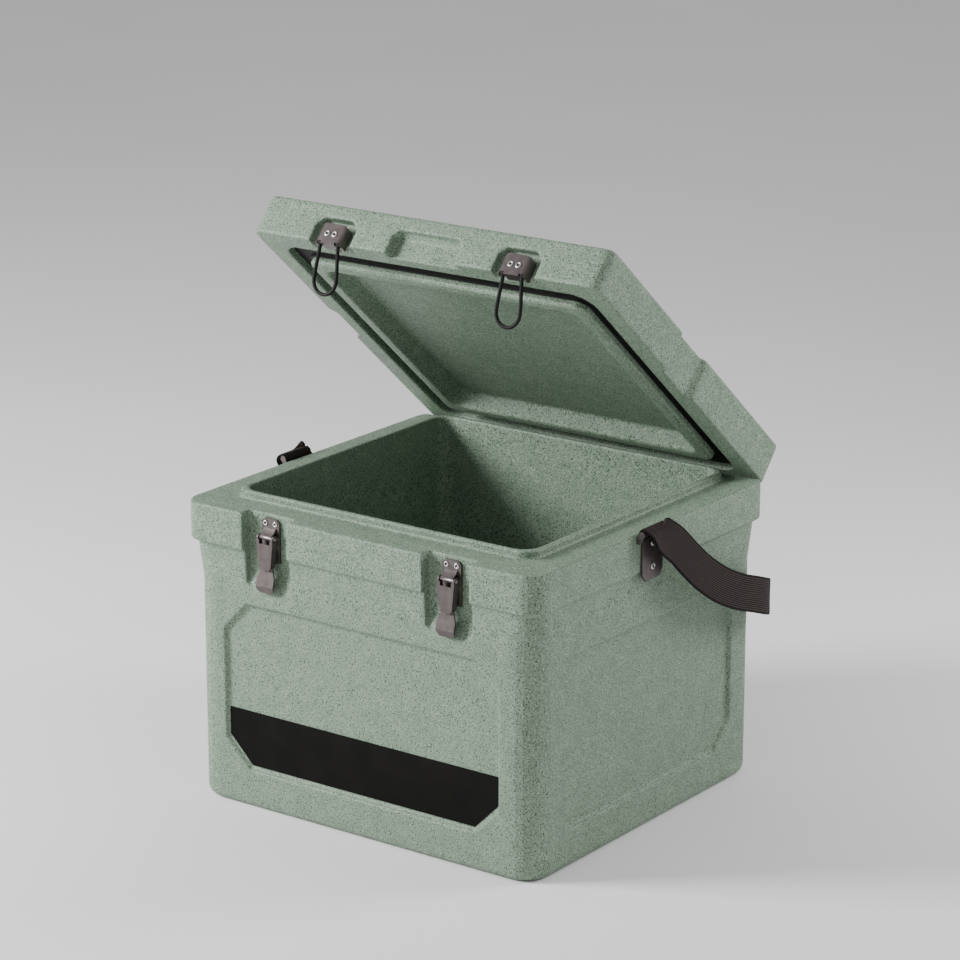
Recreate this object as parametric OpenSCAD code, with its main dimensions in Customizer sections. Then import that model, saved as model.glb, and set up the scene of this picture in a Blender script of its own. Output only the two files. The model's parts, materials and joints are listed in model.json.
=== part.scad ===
// Hard-sided cooler chest: foam-filled moulded tub and lid, twin front latches,
// two rear hinges and a webbing carry strap that runs round behind the tub.
// Millimetres. Origin at the centre of the underside, X to the right, Y to the
// back, Z up. The lid is drawn raised by lid_open degrees about its hinge.

/* [Tub] */
// Width over the rim band
body_w = 370; // [366:1:376]
// Depth over the rim band
body_d = 349; // [345:1:353]
// Height of the flat ledge that the lid closes onto
ledge_z = 267.5; // [265:0.5:270]
// Height of the thicker rim band
band_h = 34.5; // [32:0.5:36]
// Height of the sloped stretch below the band
taper_h = 33; // [30:1:36]
// How far the lower walls sit inside the band
wall_in = 5.5; // [3.5:0.5:6]
// Corner radius of the band
band_r = 19; // [16:1:20]
// Corner radius of the lower walls
wall_r = 25; // [20:1:26]
// Rounding of the bottom edge
base_r = 8; // [6:1:10]
// Thickness of the moulded skin
skin = 3.5; // [3:0.5:4]

/* [Cavity] */
// Width of the inside at the opening
cavity_w = 300; // [290:1:300]
// Depth of the inside at the opening
cavity_d = 285; // [275:1:285]
// Height of the inner floor
floor_z = 32; // [28:1:40]
// Thickness of the raised lip round the opening
lip_t = 5.5; // [5:0.5:6]
// Height of the lip above the ledge
lip_h = 7; // [6:0.5:7.5]

/* [Lid] */
// Width of the lid
lid_w = 357; // [350:1:360]
// Depth of the lid
lid_d = 346; // [340:1:346]
// Thickness of the lid at its edge
lid_t = 37; // [34:1:40]
// How far the lid is drawn raised
lid_open = 40.9; // [0:0.1:90]

/* [Latches] */
// Distance of each latch from the middle
latch_x = 94.8; // [85:0.1:100]
// Length of the catch loop below its pin
loop_len = 45; // [40:1:46]
// Thickness of the catch loop
loop_wire = 3.2; // [2.8:0.1:3.4]
// How far the catch loop leans out from hanging plumb
loop_lean = 12; // [10:1:16]

/* [Strap] */
// Width of the webbing
strap_w = 32; // [28:1:32]
// Thickness of the webbing
strap_t = 2.2; // [1.8:0.1:2.4]
// Position of the side brackets along the depth
strap_y = -10; // [-20:1:0]

/* [Hidden] */

green = [0.64, 0.71, 0.64];
foam_yellow = [0.90, 0.84, 0.62];
gunmetal = [0.40, 0.36, 0.36];
silver = [0.80, 0.80, 0.80];
black = [0.09, 0.09, 0.09];
webbing = [0.17, 0.14, 0.14];

sides = [-1, 1];
fine = 48;
corner_steps = 6;
over = 40;

band_z = ledge_z - band_h;
taper_z = band_z - taper_h;
band_step = 3.9;
band_rise = 0.8;
edge_round = 1.2;
lip_z = ledge_z + lip_h;
cavity_y = 8;
cavity_r = 11;
cavity_floor_r = 12;
cavity_draft = 3;
wall_front = -body_d / 2 + wall_in;
wall_side = body_w / 2 - wall_in;

panel_half = 145;
panel_side_half = 135;
panel_z0 = 34;
panel_z1 = 185;
panel_cut = 25;
panel_depth = 4;
panel_slope = 2;
label_half = 142.5;
label_z0 = 38.2;
label_z1 = 87.3;
label_cut = 24;
label_t = 0.6;

// hinge: the tub's back edge is rounded about the same line
hinge_r = 11;
hinge_y = body_d / 2 - hinge_r;
hinge_z = ledge_z - hinge_r;
hinge_x = 74.7;
notch_w = 39.5;
knuckle_w = 38.5;
knuckle_r = 6.5;
rod_r = 2.5;
rod_play = 0.06;
rod_x0 = 45;
rod_x1 = 168;
plug_x1 = 182.5;

// holes for pouring the foam
fill_x = 60;
fill_r = 9;
fill_sink = 0.6;

// latch recess in the tub's front
recess_half = 24;
recess_y = -body_d / 2 + 12;
recess_z0 = 199;
recess_cut = 7;
recess_ramp = 15;

// lid in its closed place
lid_gap = 1;
lid_z0 = ledge_z + lid_gap;
lid_z1 = lid_z0 + lid_t;
lid_back = hinge_y + hinge_r - 1;
lid_front = lid_back - lid_d;
lid_y = (lid_front + lid_back) / 2;
lid_r = 9;
lid_top_r = 3;
groove_gap = 3;
groove_front = -152;
groove_z1 = 276;
gasket_z0 = lip_z + 0.2;
bead_t = 2.4;
bead_z0 = 272.7;
plug_w = cavity_w - 12;
plug_y0 = -131.5;
plug_y1 = 140;
plug_drop = 2;
plug_bevel = 2;
well_in = 12;
well_depth = 14;
well_slope = 9;
side_notch_half = 20;
side_notch_flare = 10;
side_notch_d = 6;
grip_half = 30;
grip_flare = 5;
grip_top = 23;
grip_depth = 9;
lid_recess_half = 21.5;
lid_recess_top = 23.5;
lid_recess_cut = 7;
lid_recess_d = 8;
lid_recess_bevel = 6;

// catch block and loop, in the lid's closed place
block_w = 27.5;
block_r = 5;
block_z0 = lid_z0 - 1.5;
block_z1 = lid_z0 + 17.8;
block_y0 = lid_front - 2;
block_y1 = lid_front + lid_recess_d;
pin_y = block_y0 + 3.2;
pin_z = lid_z0 + 0.5;
pin_r = 1.25;
pin_play = 0.06;
eye_r = 2.2;
loop_top_half = 9.5;
loop_mid_half = 11;
slot_w = 4.4;
slot_wall = 0.8;

// latch on the tub
plate_w = 18.5;
plate_t = 2.5;
plate_z0 = 226;
plate_z1 = 264;
axle_y = recess_y - 8.2;
axle_z = 249;
axle_r = 1.5;
axle_play = 0.06;
axle_len = 20;
lever_w = 17.4;
lever_low_w = 12;
lever_z0 = 221;
lever_t = 1.2;
lever_depth = 6.2;
tab_w = 18.6;
tab_neck_w = 12.6;
tab_z0 = 200.5;
tab_crease_z = 206.5;
tab_wide_z = 213.5;
slot_half = 5.6;
rivet_r = 2.6;
rivet_eye = 1.2;

// strap brackets and the webbing
bar_x = body_w / 2 + 5.2;
bar_z = ledge_z + 1;
bar_r = 2.4;
bar_y = strap_y - 3.5;
ear_gap = 33.4;
ear_t = 1.2;
ear_r = bar_r + 0.4;
bracket_t = 2.2;
bracket_w = 30;
bracket_z0 = 225;
bracket_z1 = 263.5;
bracket_rivets_z = [236.5, 257];

// ---------------------------------------------------------------- helpers

// corner-rounded outline at height z, counter-clockwise from above
function ring(w, d, r, z, cy = 0) = [
    for (q = [0 : 3], i = [0 : corner_steps])
        let (a = 90 * (q + i / corner_steps),
             sx = q == 0 || q == 3 ? 1 : -1,
             sy = q < 2 ? 1 : -1)
        [sx * (w / 2 - r) + r * cos(a), cy + sy * (d / 2 - r) + r * sin(a), z]];

// solid through a stack of outlines that all have the same number of points
module loft(rings) {
    n = len(rings[0]);
    m = len(rings);
    walls = [for (j = [0 : m - 2], i = [0 : n - 1])
        [j * n + i, j * n + n + i, j * n + n + (i + 1) % n, j * n + (i + 1) % n]];
    caps = [[for (i = [0 : n - 1]) i], [for (i = [n - 1 : -1 : 0]) (m - 1) * n + i]];
    polyhedron(points = [for (r = rings) each r], faces = concat(walls, caps), convexity = 6);
}

module rounded_rect(w, d, r) {
    square([w - 2 * r, d], center = true);
    square([w, d - 2 * r], center = true);
    for (sx = sides, sy = sides)
        translate([sx * (w / 2 - r), sy * (d / 2 - r)])
            circle(r = r, $fn = fine);
}

module x_rod(x0, x1, y, z, r) {
    translate([x0, y, z]) rotate([0, 90, 0]) cylinder(r = r, h = x1 - x0, $fn = fine);
}

// a profile given as [y, z] points, drawn out along X about the middle
module along_x(width, points) {
    translate([-width / 2, 0, 0]) rotate([90, 0, 90])
        linear_extrude(width) polygon(points);
}

// a front outline given as [x, z] points, drawn out from y0 to y1
module along_y(y0, y1, points) {
    translate([0, y1, 0]) rotate([90, 0, 0])
        linear_extrude(y1 - y0) polygon(points);
}

module raise_lid() {
    translate([0, hinge_y, hinge_z]) rotate([-lid_open, 0, 0])
        translate([0, -hinge_y, -hinge_z]) children();
}

module on_side(s) {
    mirror([s < 0 ? 1 : 0, 0, 0]) children();
}

// octagon with its corners cut, as [x, z] points
function cut_panel(half, z0, z1, cut) = [
    [-half, z0 + cut], [-half + cut, z0], [half - cut, z0], [half, z0 + cut],
    [half, z1 - cut], [half - cut, z1], [-half + cut, z1], [-half, z1 - cut]];

// shallow panel sunk into the face at y = face, its walls sloping inwards
module sunk_panel(half, face, grow) {
    out = 6;
    lean = panel_slope / panel_depth;
    function level(y) =
        let (k = lean * (y - face) - grow)
        [for (p = cut_panel(half - k, panel_z0 + k, panel_z1 - k, panel_cut)) [p[0], y, p[1]]];
    loft([level(face + panel_depth + grow), level(face - out)]);
}

// ---------------------------------------------------------------- tub

function outer_ring(inset, r, z) = ring(body_w - 2 * inset, body_d - 2 * inset, r, z);

module tub_outer() {
    steps = 3;
    foot = [for (i = [0 : steps])
        let (a = 90 * i / steps, k = base_r * (1 - sin(a)))
        outer_ring(wall_in + k, wall_r - k, base_r * (1 - cos(a)))];
    upper = [
        outer_ring(wall_in, wall_r, taper_z),
        outer_ring(band_step, band_r + 1, band_z),
        outer_ring(band_rise, band_r, band_z + band_rise),
        outer_ring(0, band_r, band_z + 2 * band_rise),
        outer_ring(0, band_r, ledge_z - edge_round),
        outer_ring(edge_round, band_r - edge_round, ledge_z)];
    loft(concat(foot, upper));
}

module tub_lip() {
    translate([0, cavity_y, ledge_z - 1]) linear_extrude(lip_h + 1)
        rounded_rect(cavity_w + 2 * lip_t, cavity_d + 2 * lip_t, cavity_r + lip_t - 1);
}

module cavity(grow, top) {
    steps = 3;
    slope = cavity_draft / (lip_z - floor_z);
    low = floor_z - grow;
    function cavity_ring(k, z) =
        let (inset = k + slope * (lip_z - z) - grow)
        ring(cavity_w - 2 * inset, cavity_d - 2 * inset, cavity_r + 4 - k / 2, z, cavity_y);
    loft(concat(
        [for (i = [0 : steps]) let (a = 90 * i / steps)
            cavity_ring(cavity_floor_r * (1 - sin(a)), low + cavity_floor_r * (1 - cos(a)))],
        [cavity_ring(0, top)]));
}

module latch_recess(grow) {
    half = recess_half + grow;
    intersection() {
        along_x(2 * half, [[-body_d, ledge_z + over], [recess_y + grow, ledge_z + over],
                           [recess_y + grow, recess_z0 + recess_ramp],
                           [wall_front, recess_z0 - grow], [-body_d, recess_z0 - grow]]);
        along_y(-body_d, 0, [[-half, ledge_z + over], [-half, recess_z0 + recess_cut],
                             [-half + recess_cut, recess_z0 - grow],
                             [half - recess_cut, recess_z0 - grow],
                             [half, recess_z0 + recess_cut], [half, ledge_z + over]]);
    }
}

// grow > 0 gives the room the foam has to leave round each hollow
module tub_hollows(grow) {
    for (s = sides) {
        translate([s * latch_x, 0, 0]) latch_recess(grow);
        rotate([0, 0, s > 0 ? 0 : 180]) sunk_panel(panel_half, wall_front, grow);
        translate([0, strap_y + 2.5, 0]) rotate([0, 0, s * 90])
            sunk_panel(panel_side_half, -wall_side, grow);
    }
}

// rounds the back edge about the hinge line and opens the two knuckle notches
module hinge_relief() {
    difference() {
        translate([-body_w, hinge_y, hinge_z]) cube([2 * body_w, over, over]);
        x_rod(-body_w - 1, body_w + 1, hinge_y, hinge_z, hinge_r);
    }
    for (s = sides)
        translate([s * hinge_x - notch_w / 2, hinge_y - knuckle_r - 0.4, hinge_z - knuckle_r - 0.4])
            cube([notch_w, over, over]);
}

module tub_foam_block() {
    inset = wall_in + skin;
    difference() {
        loft([outer_ring(inset + base_r, wall_r - skin - base_r, skin),
              outer_ring(inset, wall_r - skin, skin + base_r),
              outer_ring(inset, wall_r - skin, ledge_z - skin)]);
        cavity(skin, ledge_z + over);
        tub_hollows(skin);
        translate([-body_w, hinge_y - hinge_r, hinge_z - hinge_r - skin])
            cube([2 * body_w, over, over]);
    }
}

module fill_hole(z0, z1, r) {
    translate([fill_x, 0, z0]) cylinder(r = r, h = z1 - z0, $fn = fine);
}

module tub_shell() {
    color(green) difference() {
        union() {
            tub_outer();
            tub_lip();
        }
        cavity(0, lip_z + over);
        tub_hollows(0);
        hinge_relief();
        for (s = sides) x_rod(s > 0 ? rod_x0 - 1 : -body_w, s > 0 ? body_w : 1 - rod_x0,
                              hinge_y, hinge_z, rod_r);
        tub_foam_block();
        fill_hole(-1, skin + 1, fill_r);
    }
}

// plugs of the two holes through which the foam is poured
module tub_fill_plug() {
    color(black) fill_hole(fill_sink, skin, fill_r);
}

module lid_fill_plug() {
    color(black) raise_lid() lid_fill_hole(lid_back - skin, lid_back - fill_sink);
}

module tub_foam_core() {
    color(foam_yellow) tub_foam_block();
}

module front_label() {
    face_y = wall_front + panel_depth;
    color(black) along_y(face_y - label_t, face_y,
        [[-label_half, label_z1], [-label_half, label_z0 + label_cut],
         [-label_half + label_cut, label_z0], [label_half - label_cut, label_z0],
         [label_half, label_z0 + label_cut], [label_half, label_z1]]);
}

// ---------------------------------------------------------------- tub latches

module latch_plate() {
    face = recess_y - plate_t;
    r = 4;
    color(gunmetal) difference() {
        union() {
            translate([0, recess_y, 0]) rotate([90, 0, 0]) linear_extrude(plate_t) {
                translate([-plate_w / 2, plate_z0]) square([plate_w, plate_z1 - plate_z0 - r]);
                translate([-plate_w / 2 + r, plate_z0]) square([plate_w - 2 * r, plate_z1 - plate_z0]);
                for (s = sides) translate([s * (plate_w / 2 - r), plate_z1 - r]) circle(r, $fn = fine);
            }
            // tongue that carries the axle
            along_x(lever_w - 5, [[face + 0.5, 257], [face - 1.2, 256], [face - 3, 253.5],
                                  [axle_y - 0.9, axle_z + 1.8], [axle_y - 0.9, axle_z - 1.5],
                                  [axle_y, axle_z - 2.3], [axle_y + 2.4, axle_z - 2.3],
                                  [axle_y + 2.8, 251.5], [face + 0.5, 253.5]]);
        }
        x_rod(-plate_w, plate_w, axle_y, axle_z, axle_r);
    }
}

module latch_axle() {
    color(silver) x_rod(-axle_len / 2, axle_len / 2, axle_y, axle_z, axle_r);
}

// folded channel with a tapered face, two flanges and a flared finger tab
module latch_lever() {
    front = axle_y - 3;
    back = front + lever_depth;
    top = axle_z + 2.2;
    slot_top = axle_z - 1.7;
    slot_low = axle_z - 5.2;
    color(gunmetal) difference() {
        union() {
            intersection() {
                along_y(front, back, [[-lever_w / 2, top], [-lever_w / 2, axle_z - 4],
                                      [-lever_low_w / 2 - 0.5, lever_z0 + 4],
                                      [-lever_low_w / 2, lever_z0 + 1.8],
                                      [-lever_low_w / 2 + 2, lever_z0],
                                      [lever_low_w / 2 - 2, lever_z0],
                                      [lever_low_w / 2, lever_z0 + 1.8],
                                      [lever_low_w / 2 + 0.5, lever_z0 + 4],
                                      [lever_w / 2, axle_z - 4], [lever_w / 2, top]]);
                along_x(plate_w + 4, [[front, top - 2], [front + 2, top], [back, top],
                                      [back, lever_z0], [front, lever_z0]]);
            }
            intersection() {
                along_x(tab_w + 2, [[front + 0.6, lever_z0 + 4], [front + 2.8, lever_z0 + 4],
                                    [front + 4.6, lever_z0], [front, tab_crease_z + 0.6],
                                    [front + 1.8, tab_z0], [front + 0.7, tab_z0],
                                    [front - 1.5, tab_crease_z], [front + 2.9, lever_z0]]);
                along_y(front - 3, back, [[-tab_neck_w / 2, lever_z0 + 4], [-tab_neck_w / 2, lever_z0],
                                          [-tab_w / 2, tab_wide_z], [-tab_w / 2, tab_z0 + 3],
                                          [-tab_w / 2 + 3, tab_z0], [tab_w / 2 - 3, tab_z0],
                                          [tab_w / 2, tab_z0 + 3], [tab_w / 2, tab_wide_z],
                                          [tab_neck_w / 2, lever_z0], [tab_neck_w / 2, lever_z0 + 4]]);
            }
        }
        // the hollow of the channel, open at the back
        along_y(front + lever_t, back + 1, [[-lever_w / 2 + 1.4, top + 1],
                                            [-lever_w / 2 + 1.4, axle_z - 4],
                                            [-lever_low_w / 2 + 1, lever_z0 + 4.2],
                                            [lever_low_w / 2 - 1, lever_z0 + 4.2],
                                            [lever_w / 2 - 1.4, axle_z - 4],
                                            [lever_w / 2 - 1.4, top + 1]]);
        translate([-slot_half, front - 1, slot_low]) cube([2 * slot_half, 4, slot_top - slot_low + 1]);
        translate([-lever_w / 2 + 2, front - 1, slot_top]) cube([lever_w - 4, 4, top - slot_top + 1]);
        x_rod(-plate_w, plate_w, axle_y, axle_z, axle_r + axle_play);
    }
}

// ring rivet: a shallow ring standing on a face, its axis along Y
module rivet(x, y_face, z, r, stand) {
    translate([x, y_face, z]) rotate([90, 0, 0]) difference() {
        cylinder(r = r, h = stand, $fn = fine);
        translate([0, 0, stand / 2]) cylinder(r = rivet_eye, h = stand, $fn = fine);
    }
}

module latch_rivets() {
    color(silver) for (s = sides, k = sides)
        rivet(s * latch_x + k * 5.2, recess_y - plate_t, 260, rivet_r - 0.3, 0.8);
}

// ---------------------------------------------------------------- strap brackets and strap

module strap_bracket() {
    half = bracket_w / 2;
    x0 = body_w / 2;
    ear_z = bracket_z1 - 3.2;
    color(gunmetal) {
        translate([x0, strap_y, 0]) rotate([90, 0, 90]) linear_extrude(bracket_t)
            polygon([[-half + 5, bracket_z0], [half - 5, bracket_z0], [half, bracket_z0 + 6.5],
                     [half, bracket_z1], [-half, bracket_z1], [-half, bracket_z0 + 6.5]]);
        translate([0, bar_y, 0]) {
            translate([x0, -ear_gap / 2 - ear_t, ear_z])
                cube([bracket_t, ear_gap + 2 * ear_t, bracket_z1 - ear_z]);
            for (y0 = [-ear_gap / 2 - ear_t, ear_gap / 2])
                translate([0, y0 + ear_t, 0]) rotate([90, 0, 0]) linear_extrude(ear_t) {
                    translate([bar_x, bar_z]) circle(ear_r, $fn = fine);
                    polygon([[x0, ear_z], [x0 + 3, ear_z], [bar_x + ear_r, bar_z],
                             [bar_x - ear_r, bar_z], [x0, bracket_z1]]);
                }
            translate([bar_x, ear_gap / 2 + 1, bar_z]) rotate([90, 0, 0])
                cylinder(r = bar_r, h = ear_gap + 2, $fn = fine);
        }
    }
}

module bracket_rivets() {
    color(silver) for (s = sides, z = bracket_rivets_z)
        on_side(s) translate([body_w / 2 + bracket_t, strap_y, z])
            rotate([0, 0, 90]) rivet(0, 0, 0, rivet_r + 0.3, 0.8);
}

// the webbing's route on the right: [x, y, z, turn], where turn is the angle of
// the web's width from Y towards Z
wrap_r = bar_r + 0.15 + strap_t / 2;
wrap = [for (a = [-60 : -20 : -260])
    [bar_x + wrap_r * cos(a), bar_y, bar_z + wrap_r * sin(a), 0]];
route = [
    [196, -13.5, 269.8, 2],
    [199, -7, 262.8, 14],
    [200.5, 7, 252, 27],
    [202, 24, 236, 38],
    [202.5, 46, 218, 50],
    [202.5, 73.5, 200.5, 64],
    [202, 103, 186.5, 78],
    [200.5, 132, 176, 87],
    [196.5, 156, 167, 90],
    [187, 175, 160, 90],
    [171, 187, 154.5, 90],
    [150, 191.5, 150.5, 90],
    [110, 192.5, 146.5, 90],
    [55, 193, 143.5, 90],
    [0, 193, 142.5, 90]];
knots = concat(wrap, route);

function blend4(p, q, r, s, t) =
    0.5 * (2 * q + (r - p) * t + (2 * p - 5 * q + 4 * r - s) * t * t
           + (3 * q - p - 3 * r + s) * t * t * t);
function knot(i) = knots[max(0, min(len(knots) - 1, i))];
function flip_x(p) = [-p[0], p[1], p[2], p[3]];
function unit(v) = v / norm(v);

half_route = concat([for (i = [0 : len(wrap) - 2]) wrap[i]],
    [for (i = [len(wrap) - 1 : len(knots) - 2], t = [0 : 0.25 : 0.8])
        i == len(knots) - 2
            ? blend4(knot(i - 1), knot(i), knot(i + 1), flip_x(knot(i)), t)
            : blend4(knot(i - 1), knot(i), knot(i + 1), knot(i + 2), t)],
    [knots[len(knots) - 1]]);
whole_route = concat(half_route,
    [for (i = [len(half_route) - 2 : -1 : 0]) flip_x(half_route[i])]);

// four corners of the webbing's section at one place on its route
function section(i) =
    let (n = len(whole_route),
         p = whole_route[i],
         a = whole_route[max(0, i - 1)],
         b = whole_route[min(n - 1, i + 1)],
         c = [p[0], p[1], p[2]],
         t = unit([b[0] - a[0], b[1] - a[1], b[2] - a[2]]),
         w0 = [0, cos(p[3]), sin(p[3])],
         w = unit(w0 - t * (w0 * t)),
         m = cross(t, w))
    [c + w * strap_w / 2 + m * strap_t / 2, c - w * strap_w / 2 + m * strap_t / 2,
     c - w * strap_w / 2 - m * strap_t / 2, c + w * strap_w / 2 - m * strap_t / 2];

module carry_strap() {
    n = len(whole_route);
    corners = [for (i = [0 : n - 1]) each section(i)];
    side_faces = [for (i = [0 : n - 2], k = [0 : 3])
        [4 * i + k, 4 * i + (k + 1) % 4, 4 * i + 4 + (k + 1) % 4, 4 * i + 4 + k]];
    halves = [for (f = side_faces) each [[f[0], f[1], f[2]], [f[0], f[2], f[3]]]];
    ends = [[2, 1, 0], [3, 2, 0], [4 * n - 4, 4 * n - 3, 4 * n - 2],
            [4 * n - 4, 4 * n - 2, 4 * n - 1]];
    color(webbing) polyhedron(points = corners, faces = concat(halves, ends), convexity = 8);
}

// ---------------------------------------------------------------- hinges

module hinge_rod() {
    color(silver) x_rod(rod_x0, rod_x1, hinge_y, hinge_z, rod_r);
}

module hinge_plugs() {
    color(black) for (s = sides)
        x_rod(s > 0 ? rod_x1 : -plug_x1, s > 0 ? plug_x1 : -rod_x1, hinge_y, hinge_z, rod_r);
}

// ---------------------------------------------------------------- lid, drawn closed

module lid_block(inset, z0, z1) {
    steps = 3;
    edge = 0.7;
    function lid_ring(k, z) =
        ring(lid_w - 2 * inset - 2 * k, lid_d - 2 * inset - 2 * k, lid_r - inset - k, z, lid_y);
    loft(concat([lid_ring(edge, z0), lid_ring(0, z0 + edge)],
        [for (i = [0 : steps]) let (a = 90 * i / steps)
            lid_ring(lid_top_r * (1 - cos(a)), z1 - lid_top_r * (1 - sin(a)))]));
}

module lid_fill_hole(y0, y1) {
    translate([0, y1, lid_z0 + lid_t / 2]) rotate([90, 0, 0])
        cylinder(r = fill_r, h = y1 - y0, $fn = fine);
}

module lid_recess(grow) {
    half = lid_recess_half + grow;
    top = lid_z0 + lid_recess_top + grow;
    floor_y = lid_front + lid_recess_d + grow;
    intersection() {
        along_y(lid_front - over, floor_y + over, [[-half, lid_z0 - over], [half, lid_z0 - over],
                [half, top - lid_recess_cut], [half - lid_recess_cut, top],
                [-half + lid_recess_cut, top], [-half, top - lid_recess_cut]]);
        along_x(2 * half, [[lid_front - over, lid_z0 - over],
                           [floor_y + lid_recess_bevel, lid_z0 - over],
                           [floor_y + lid_recess_bevel, lid_z0], [floor_y, lid_z0 + 5],
                           [floor_y, top], [lid_front - over, top]]);
    }
}

module grip_recess(grow) {
    half = grip_half + grow;
    top = lid_z0 + grip_top + grow;
    intersection() {
        along_y(lid_front - over, 0, [[-half - grip_flare, lid_z0 - over],
                [half + grip_flare, lid_z0 - over], [half + grip_flare, top - 6],
                [half, top], [-half, top], [-half - grip_flare, top - 6]]);
        along_x(4 * half, [[lid_front - over, lid_z0 - over],
                           [lid_front + grip_depth + grow, lid_z0 - over],
                           [lid_front + grip_depth + grow, top - 4],
                           [lid_front + grip_depth + grow - 4, top], [lid_front - over, top]]);
    }
}

module side_notch(grow) {
    floor_x = lid_w / 2 - side_notch_d - grow;
    half = side_notch_half + grow;
    translate([0, strap_y, lid_z0 - over]) linear_extrude(lid_t + 2 * over)
        polygon([[floor_x, -half], [lid_w, -half - side_notch_flare - lid_w + floor_x + side_notch_d],
                 [lid_w, half + side_notch_flare + lid_w - floor_x - side_notch_d], [floor_x, half]]);
}

module lid_hollows(grow) {
    for (s = sides) {
        translate([s * latch_x, 0, 0]) lid_recess(grow);
        on_side(s) side_notch(grow);
    }
    grip_recess(grow);
}

plug_y = (plug_y0 + plug_y1) / 2;
plug_d = plug_y1 - plug_y0;
groove_back = cavity_y + cavity_d / 2 + lip_t + 1.5;

module groove_outline(grow) {
    translate([0, (groove_front + groove_back) / 2])
        rounded_rect(cavity_w + 2 * (lip_t + groove_gap + grow),
                     groove_back - groove_front + 2 * grow, cavity_r + lip_t + 2);
}

module plug_outline(grow) {
    translate([0, plug_y]) rounded_rect(plug_w + 2 * grow, plug_d + 2 * grow, cavity_r + grow);
}

module groove(grow) {
    translate([0, 0, lid_z0 - over]) linear_extrude(groove_z1 - lid_z0 + over + grow)
        difference() {
            groove_outline(grow);
            plug_outline(-grow);
        }
}

module plug() {
    low = lid_z0 - plug_drop;
    loft([ring(plug_w - 2 * plug_bevel, plug_d - 2 * plug_bevel, cavity_r - plug_bevel, low, plug_y),
          ring(plug_w, plug_d, cavity_r, low + plug_bevel, plug_y),
          ring(plug_w, plug_d, cavity_r, lid_z0 + 4, plug_y)]);
}

module lid_well(grow) {
    w = plug_w - 2 * well_in + 2 * grow;
    d = plug_d - 2 * well_in + 2 * grow;
    low = lid_z0 - plug_drop;
    lean = well_slope / well_depth;
    function well_ring(z) =
        ring(w - 2 * lean * (z - low), d - 2 * lean * (z - low), cavity_r, z, plug_y);
    loft([well_ring(low - 1), well_ring(low + well_depth + grow)]);
}

module lid_foam_block() {
    difference() {
        lid_block(skin, lid_z0 + skin, lid_z1 - skin);
        lid_hollows(skin);
        groove(skin);
        lid_well(skin);
    }
}

module lid_knuckles() {
    for (s = sides) {
        x_rod(s * hinge_x - knuckle_w / 2, s * hinge_x + knuckle_w / 2,
              hinge_y, hinge_z, knuckle_r);
        translate([s * hinge_x - knuckle_w / 2, hinge_y - knuckle_r, hinge_z])
            cube([knuckle_w, 2 * knuckle_r, hinge_r + lid_gap + 1]);
    }
}

module lid_shell() {
    color(green) raise_lid() difference() {
        union() {
            lid_block(0, lid_z0, lid_z1);
            plug();
            lid_knuckles();
        }
        lid_hollows(0);
        groove(0);
        lid_well(0);
        lid_foam_block();
        lid_fill_hole(lid_back - skin - 1, lid_back + 1);
        x_rod(-body_w, body_w, hinge_y, hinge_z, rod_r + rod_play);
    }
}

module lid_foam_core() {
    color(foam_yellow) raise_lid() lid_foam_block();
}

// flat seal over the groove's roof, with a bead round the foot of the plug
module lid_gasket() {
    color(black) raise_lid() difference() {
        union() {
            translate([0, 0, gasket_z0]) linear_extrude(groove_z1 - gasket_z0)
                groove_outline(-0.3);
            translate([0, 0, bead_z0]) linear_extrude(groove_z1 - bead_z0) plug_outline(bead_t);
        }
        translate([0, 0, bead_z0 - 1]) linear_extrude(groove_z1 - bead_z0 + 2) plug_outline(0);
    }
}

// ---------------------------------------------------------------- catch blocks and loops

module catch_block() {
    half = block_w / 2;
    color(gunmetal) difference() {
        intersection() {
            translate([0, 0, block_z0]) linear_extrude(block_z1 - block_z0)
                polygon([[-half, block_y1], [-half, block_y0 + 4], [-half + 1.2, block_y0 + 1.2],
                         [-half + 4, block_y0], [half - 4, block_y0],
                         [half - 1.2, block_y0 + 1.2], [half, block_y0 + 4], [half, block_y1]]);
            translate([0, block_y1, 0]) rotate([90, 0, 0])
                linear_extrude(block_y1 - block_y0) {
                    translate([-half, block_z0]) square([block_w, block_z1 - block_z0 - block_r]);
                    translate([-half + block_r, block_z0])
                        square([block_w - 2 * block_r, block_z1 - block_z0]);
                    for (s = sides) translate([s * (half - block_r), block_z1 - block_r])
                        circle(block_r, $fn = fine);
                }
        }
        x_rod(-half + 2, half - 2, pin_y, pin_z, pin_r + pin_play);
        // slots that let the loop's eyes turn on the pin
        for (s = sides) translate([s * loop_top_half - slot_w / 2, block_y0, block_z0 - 1]) {
            translate([0, slot_wall, 0]) cube([slot_w, block_y1 - block_y0, pin_z - block_z0 + 3.6]);
            translate([0, -1, 0]) cube([slot_w, slot_wall + 2, pin_z - block_z0 + 1.2]);
        }
    }
}

module catch_rivets() {
    color(silver) raise_lid() for (s = sides, k = sides)
        rivet(s * latch_x + k * 3.9, block_y0, lid_z0 + 8, rivet_r, 0.8);
}

module loop_pin() {
    color(silver) x_rod(-block_w / 2 + 2.2, block_w / 2 - 2.2, pin_y, pin_z, pin_r);
}

// place of the pin once the lid is raised
raised_y = hinge_y + (pin_y - hinge_y) * cos(lid_open) + (pin_z - hinge_z) * sin(lid_open);
raised_z = hinge_z - (pin_y - hinge_y) * sin(lid_open) + (pin_z - hinge_z) * cos(lid_open);

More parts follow.
